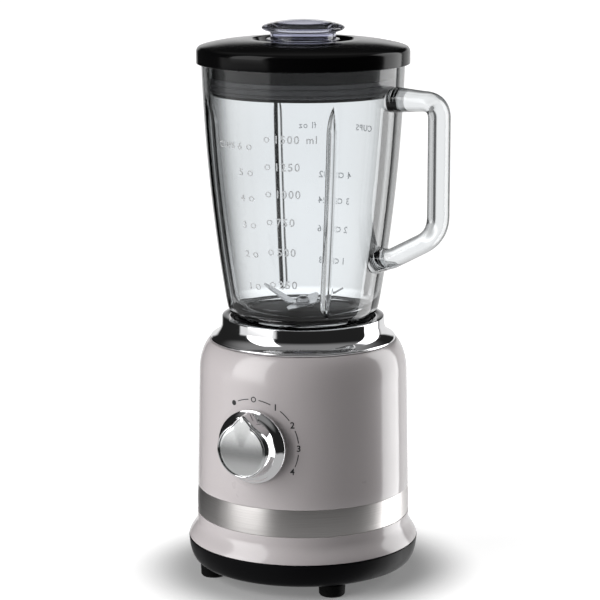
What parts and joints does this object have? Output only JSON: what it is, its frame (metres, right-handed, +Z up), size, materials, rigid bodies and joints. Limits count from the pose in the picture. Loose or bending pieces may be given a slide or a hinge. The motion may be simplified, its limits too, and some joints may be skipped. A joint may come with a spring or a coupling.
{
  "type": "countertop blender",
  "caption": "Countertop blender: round painted motor base with a steel band, chrome collar and speed dial, under a tall glass jug with handle, bladed base, black lid and clear measuring cap.",
  "frame": {"origin": "centre of the blender's bounding box, on the surface that its feet stand on", "axes": "+Z up along the drive axis, the speed dial faces -Y, the jug's handle points along +X"},
  "size_m": [0.2006, 0.1808, 0.4103],
  "materials": {
    "painted_body": "gloss pearl light grey paint",
    "steel_band": "brushed round the body",
    "chrome_trim": "polished",
    "satin_face": "satin, brushed",
    "black_plastic": "satin",
    "gloss_black": "gloss",
    "foot_rubber": "matte",
    "seal_rubber": "translucent grey, satin",
    "clear_glass": "polished, with a faint green tint",
    "smoke_plastic": "clear smoky blue",
    "blade_steel": "polished stainless",
    "steel_parts": "machined",
    "laminations": "matte",
    "copper_wire": "enamelled copper",
    "brass_parts": "machined",
    "carbon": "matte"
  },
  "bodies": {
    "base": {"base_housing": "painted_body", "trim_band": "steel_band", "chrome_collar": "chrome_trim", "base_plate": "black_plastic", "cord_gland": "black_plastic", "jug_seat": "black_plastic", "lower_bracket": "laminations", "upper_bracket": "laminations", "stator_core": "laminations", "speed_switch": "black_plastic", "lower_bearing": "brass_parts", "upper_bearing": "steel_parts", "foot_1": "foot_rubber", "foot_2": "foot_rubber", "foot_3": "foot_rubber", "foot_4": "foot_rubber", "base_screw_1": "steel_parts", "base_screw_2": "steel_parts", "base_screw_3": "steel_parts", "base_screw_4": "steel_parts", "motor_damper_1": "foot_rubber", "motor_damper_2": "foot_rubber", "motor_damper_3": "foot_rubber", "motor_damper_4": "foot_rubber", "motor_screw_1": "steel_parts", "motor_screw_2": "steel_parts", "motor_screw_3": "steel_parts", "motor_screw_4": "steel_parts", "motor_bolt_1": "steel_parts", "motor_bolt_2": "steel_parts", "field_coil_1": "copper_wire", "field_coil_2": "copper_wire", "brush_holder_1": "brass_parts", "brush_holder_2": "brass_parts", "carbon_brush_1": "carbon", "carbon_brush_2": "carbon", "brush_spring_1": "steel_parts", "brush_spring_2": "steel_parts"},
    "motor": {"rotor_shaft": "steel_parts", "rotor_core": "laminations", "armature_winding": "copper_wire", "commutator": "copper_wire", "cooling_fan": "black_plastic", "drive_coupling": "black_plastic"},
    "dial": {"knob": "chrome_trim", "knob_face": "satin_face", "switch_spindle": "steel_parts"},
    "jug": {"glass_jug": "clear_glass", "jug_base_ring": "black_plastic", "jug_gasket": "seal_rubber", "blade_carrier": "black_plastic", "blade_bush": "steel_parts"},
    "blades": {"blade_shaft": "steel_parts", "blade_lower": "blade_steel", "blade_upper": "blade_steel", "blade_nut": "blade_steel", "driven_coupling": "black_plastic"},
    "lid": {"lid": "gloss_black", "lid_seal": "seal_rubber"},
    "cap": {"measuring_cap": "smoke_plastic"}
  },
  "joints": [
    {"name": "motor_spin", "type": "hinge", "parent": "base", "child": "motor", "pos_m": [-0.0149, 0.00505, 0.1021], "axis": [0, 0, 1], "continuous": true},
    {"name": "dial_turn", "type": "hinge", "parent": "base", "child": "dial", "pos_m": [-0.0149, -0.07335, 0.1118], "axis": [0, 1, 0], "range_deg": [-30, 120]},
    {"name": "jug_lift", "type": "slide", "parent": "base", "child": "jug", "axis": [0, 0, 1], "range_m": [0, 0.12]},
    {"name": "blade_spin", "type": "hinge", "parent": "jug", "child": "blades", "pos_m": [-0.0149, 0.00505, 0.2021], "axis": [0, 0, 1], "continuous": true},
    {"name": "lid_lift", "type": "slide", "parent": "jug", "child": "lid", "axis": [0, 0, 1], "range_m": [0, 0.07]},
    {"name": "cap_lift", "type": "slide", "parent": "lid", "child": "cap", "axis": [0, 0, 1], "range_m": [0, 0.05]}
  ],
  "couplings": [
    {"joint": "blade_spin", "follows": "motor_spin", "ratio": 1}
  ]
}
